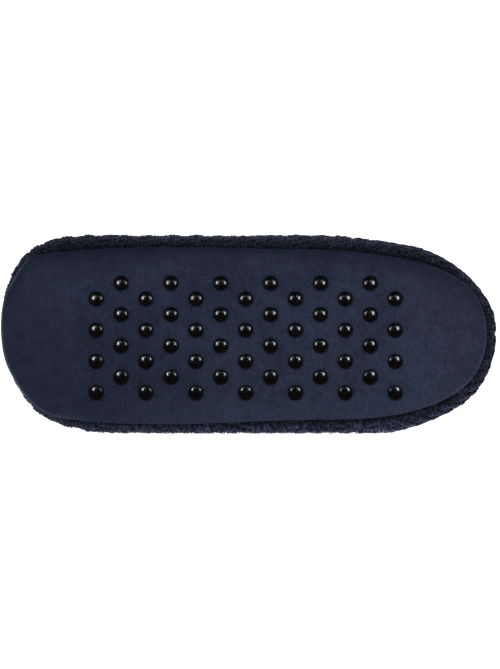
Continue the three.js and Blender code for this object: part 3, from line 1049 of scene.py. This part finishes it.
def bound_edge(material):
    """The row of stitches that binds off the collar, lying along its lip."""
    around = np.linspace(0, 2 * math.pi, 721)
    middle = (upper_point(around, 1.0, 0.6 - CUFF_STEP) + upper_point(around, 1.0, WALL - 0.4)) / 2
    run = run_along(middle)
    count = int(run[-1] / EDGE_PITCH)
    wanted = (np.arange(count) + 0.5) * run[-1] / count
    centre = np.stack([np.interp(wanted, run, middle[:, axis]) for axis in range(3)], -1)
    after = np.stack([np.interp(wanted + 0.5, run, middle[:, axis]) for axis in range(3)], -1)
    along = unit(after - centre)
    up = unit(square_to(along, np.array([0.0, 0.0, 1.0])))
    frames = (centre + up * 0.6, np.cross(up, along), along, up)
    stitch_mesh("bound_edge", frames, EDGE_WIDTH, EDGE_PITCH, material)


def heel_column(material):
    """The column of stitches up the back of the heel, where the wales of both sides meet."""
    rise = np.linspace(0, 1, 400) * cuff_start(math.pi)
    run = run_along(upper_point(math.pi, rise, 0.0))
    count = int(run[-1] / COURSE)
    wanted = (np.arange(count) + 0.5) * run[-1] / count
    frames = stitch_frames(math.pi, np.interp(wanted, run, rise), YARN_RADIUS + 0.1, True)
    stitch_mesh("heel_column", frames, 1.35 * WALE, COURSE, material)


def seam_stitches(material):
    """The close row of upright stitches that joins the knit to the sole."""
    around = np.linspace(0, 2 * math.pi, 1441)
    run = run_along(free_face(around, 0.03))
    count = int(run[-1] / SEAM_PITCH)
    turn = np.interp((np.arange(count) + 0.5) * run[-1] / count, run, around)
    low, high = 0.004, 0.05 + 0.012 * random.random(count)
    foot = upper_point(turn, low, 0.3)
    head = upper_point(turn, high, 0.1)
    along = head - foot
    length = np.linalg.norm(along, axis=-1)
    along /= length[:, None]
    outward = unit(square_to(along, face_normal(turn, (low + high) / 2)))
    frames = ((foot + head) / 2, np.cross(outward, along), along, outward)
    stitch_mesh("seam_stitches", frames, SEAM_PITCH, length * 0.62, material, thickness=0.5)


def knit_fuzz(material):
    """Loose fibres that stand off the yarn and soften its edge, with few of them low on the toe."""
    turn = random.uniform(0, 2 * math.pi, FUZZ_FIBRES)
    rise = random.uniform(0, 1, FUZZ_FIBRES) ** 1.4
    kept = (rise > 0.2) | (length_share(turn) > 0.03 * random.random(FUZZ_FIBRES))
    turn, rise = turn[kept], rise[kept]
    count = len(turn)
    root = upper_point(turn, rise, 0.0)
    way = unit(face_normal(turn, rise) + random.normal(0, 0.8, (count, 3)))
    length = random.uniform(FUZZ_SHORTEST, FUZZ_LENGTH, count)[:, None]
    side = unit(np.cross(way, random.normal(0, 1, (count, 3)))) * FUZZ_WIDTH / 2
    tip = root + way * length
    points = np.stack([root - side, root + side, tip], 1).reshape(-1, 3)
    points[:, 1] = np.minimum(points[:, 1], FLOOR_SIDE)
    faces = np.arange(3 * count).reshape(-1, 3)
    uv = np.tile(np.array([1, 0.125]), (3 * count, 1))
    add_piece("knit_fuzz", points, faces, material, uv)


# Stage


def area_light(name, place, aim, size, power, only_highlights=False):
    """A soft box. One that is only seen as highlights shines mostly the way that it faces."""
    data = bpy.data.lights.new(name, "AREA")
    if only_highlights:
        data.spread = math.radians(80)
    data.shape = "RECTANGLE"
    data.size, data.size_y = size
    data.energy = power
    light = put_in_scene(name, data)
    light.location = place
    light.rotation_euler = (Vector(aim) - Vector(place)).to_track_quat("-Z", "Y").to_euler()
    light.visible_glossy = only_highlights
    light.visible_diffuse = not only_highlights


def white_surface(name, mesh, glow, colour):
    """A piece of the white studio that takes soft shadows and glows a little of its own."""
    shader = Shader(name, 0.9, specular=0.0)
    speck = shader.noise(40, detail=2)
    levels = ((0.0, colour), (1.0, 0.98 * colour))
    paper = shader.ramp(speck, [(at, (level, level, level, 1)) for at, level in levels])
    shader.surface.inputs["Emission Color"].default_value = (1, 1, 1, 1)
    shader.surface.inputs["Emission Strength"].default_value = glow
    mesh.materials.append(shader.finish(paper))
    surface = put_in_scene(name, mesh)
    surface.visible_glossy = False
    return surface


def add_studio():
    """A white floor, and far behind it a white dome that only the camera sees."""
    reach = 14.0
    floor = bpy.data.meshes.new("floor")
    edge = [(reach * math.cos(a), reach * math.sin(a), 0) for a in np.arange(48) * math.pi / 24]
    floor.from_pydata(edge, [], [list(range(48))])
    white_surface("floor", floor, 1.2, 0.85)
    dome = bpy.data.meshes.new("dome")
    made = bmesh.new()
    bmesh.ops.create_uvsphere(made, u_segments=48, v_segments=24, radius=reach + 0.5)
    bmesh.ops.reverse_faces(made, faces=made.faces)
    made.to_mesh(dome)
    made.free()
    backdrop = white_surface("dome", dome, 1.2, 0.8)
    backdrop.visible_diffuse = False
    backdrop.visible_transmission = False
    backdrop.visible_shadow = False


def add_camera():
    """Square on to the sole, from far off, with the sock across the whole frame."""
    frame_width_px = 500
    sock_px = 494
    sock_middle_px = 248
    distance = 6.0
    sock_length = CAD_BOX[1][0] - CAD_BOX[0][0]
    metres_per_px = sock_length / sock_px
    data = bpy.data.cameras.new("camera")
    data.sensor_fit = "HORIZONTAL"
    data.sensor_width = 36
    data.lens = data.sensor_width * distance / (frame_width_px * metres_per_px)
    data.clip_start = 0.05
    camera = put_in_scene("camera", data)
    silhouette_plane = CAD_BOX[0][1] + 0.02
    middle_z = (CAD_BOX[0][2] + CAD_BOX[1][2]) / 2
    camera.location = (
        (frame_width_px / 2 - sock_middle_px) * metres_per_px,
        silhouette_plane - distance,
        middle_z,
    )
    camera.rotation_euler = (math.pi / 2, 0, 0)
    bpy.context.scene.camera = camera


def add_light():
    """Soft boxes in front and above, and at each side a pair that shows only on the dots."""
    world = bpy.data.worlds.new("studio")
    bpy.context.scene.world = world
    world.use_nodes = True
    sky = world.node_tree.nodes["Background"]
    sky.inputs["Color"].default_value = (1, 1, 1, 1)
    sky.inputs["Strength"].default_value = 0.3
    world.cycles_visibility.glossy = False
    for side, name in ((-1, "left"), (1, "right")):
        strip, bar = (0.247 * side, -0.403, 0.19), (0.167 * side, -0.403, 0.27)
        end = (0.16 * side, -0.05, 0.1)
        middle = (0.02 * side, -0.05, 0.05)
        area_light(name + "_strip", strip, end, (0.075, 0.15), 0.156, only_highlights=True)
        area_light(name + "_bar", bar, end, (0.16, 0.064), 0.025, only_highlights=True)
        area_light(name + "_fill", (0.5 * side, -0.9, 0.4), middle, (0.5, 0.5), 1.6)
    area_light("key", (0, -1.6, 1.0), (0, 0, 0.05), (1.8, 1.2), 9)
    area_light("overhead", (0, 0.2, 1.6), (0, 0, 0), (1.6, 1.6), 7)
    bpy.context.scene.view_settings.view_transform = "Standard"


def main():
    suede = suede_material()
    yarn = yarn_material()
    ground = ground_material()
    lining = lining_material()
    rubber = rubber_material()
    suede_sole(suede)
    footbed(lining)
    grip_dots(rubber)
    knit_shell(ground, lining)
    knit_side("knit_inner", -1, yarn)
    knit_side("knit_outer", 1, yarn)
    knit_cuff(yarn)
    bound_edge(yarn)
    heel_column(yarn)
    seam_stitches(yarn)
    knit_fuzz(yarn)
    add_studio()
    add_camera()
    add_light()


main()
